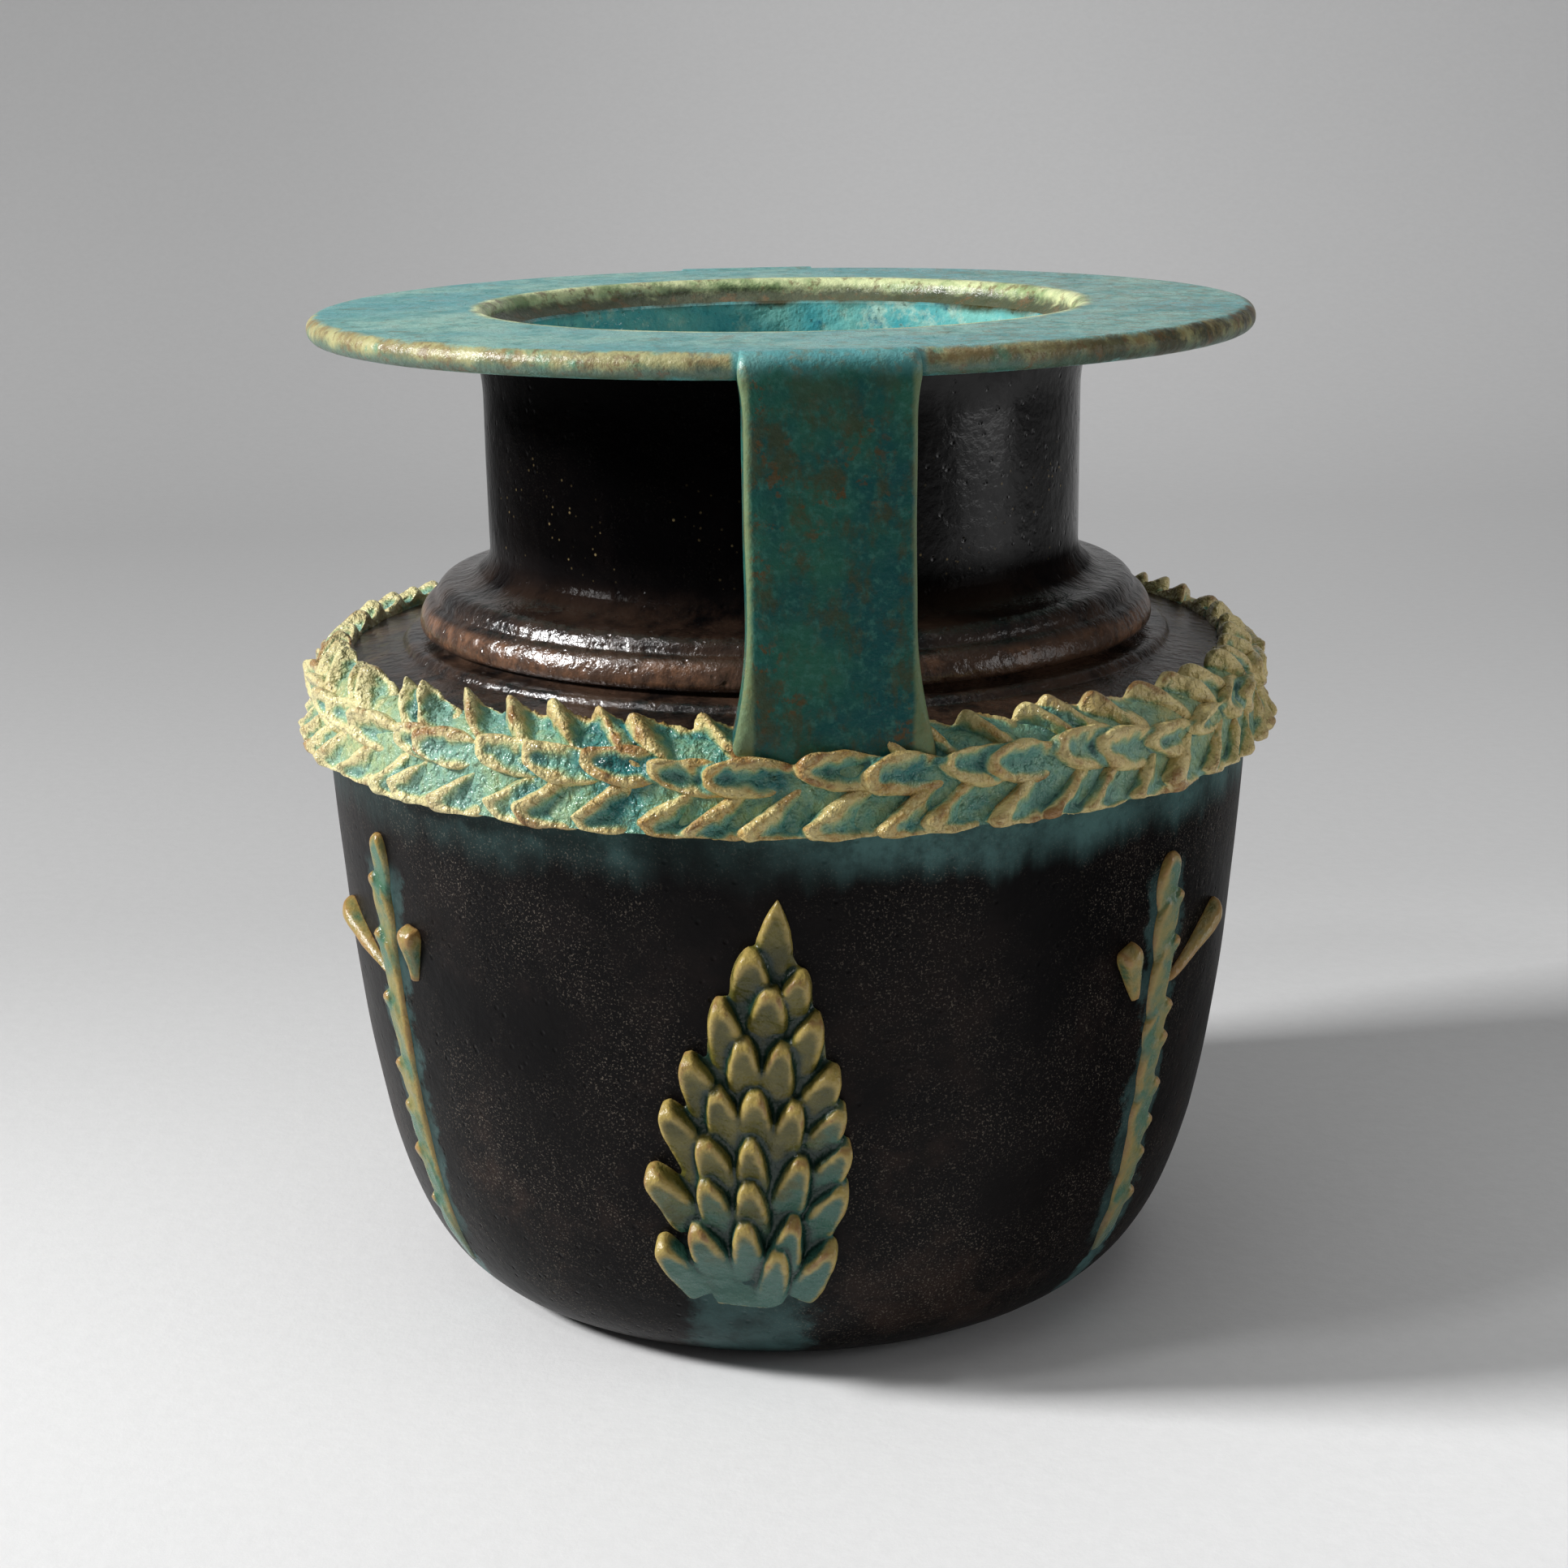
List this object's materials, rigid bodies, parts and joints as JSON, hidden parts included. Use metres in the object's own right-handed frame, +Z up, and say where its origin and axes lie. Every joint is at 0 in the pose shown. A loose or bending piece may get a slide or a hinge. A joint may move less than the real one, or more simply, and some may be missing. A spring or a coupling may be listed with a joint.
{
  "type": "two-handled faience jar",
  "caption": "Squat wide-mouthed jar of glazed faience with a broad flat rim, strap handles, a leaf garland on the shoulder and applied cone and stalk reliefs.",
  "frame": {"origin": "centre of the flat foot, on the surface the jar stands on", "axes": "+Z up along the jar's axis, -Y through the front handle, +X to the right of one who faces that handle"},
  "size_m": [0.2138, 0.2136, 0.2115],
  "materials": {
    "dark_glaze": "glossy, slightly pitted",
    "turquoise_glaze": "glossy, slightly pitted",
    "ochre_glaze": "glossy, thin over the ridges",
    "olive_glaze": "glossy, thin over the ridges"
  },
  "bodies": {
    "root": {"bowl": "dark_glaze", "shoulder": "dark_glaze", "neck_ring": "dark_glaze", "neck": "dark_glaze", "rim": "turquoise_glaze", "handle_front": "turquoise_glaze", "handle_back": "turquoise_glaze", "garland_band": "turquoise_glaze", "garland_upper_leaves": "ochre_glaze", "garland_middle_leaves": "ochre_glaze", "garland_lower_leaves": "ochre_glaze", "stalk_front_left": "ochre_glaze", "stalk_front_right": "ochre_glaze", "stalk_back_left": "ochre_glaze", "stalk_back_right": "ochre_glaze", "buds_front_left": "ochre_glaze", "buds_front_right": "ochre_glaze", "buds_back_left": "ochre_glaze", "buds_back_right": "ochre_glaze", "cone_front": "olive_glaze", "cone_back": "olive_glaze"}
  },
  "joints": []
}
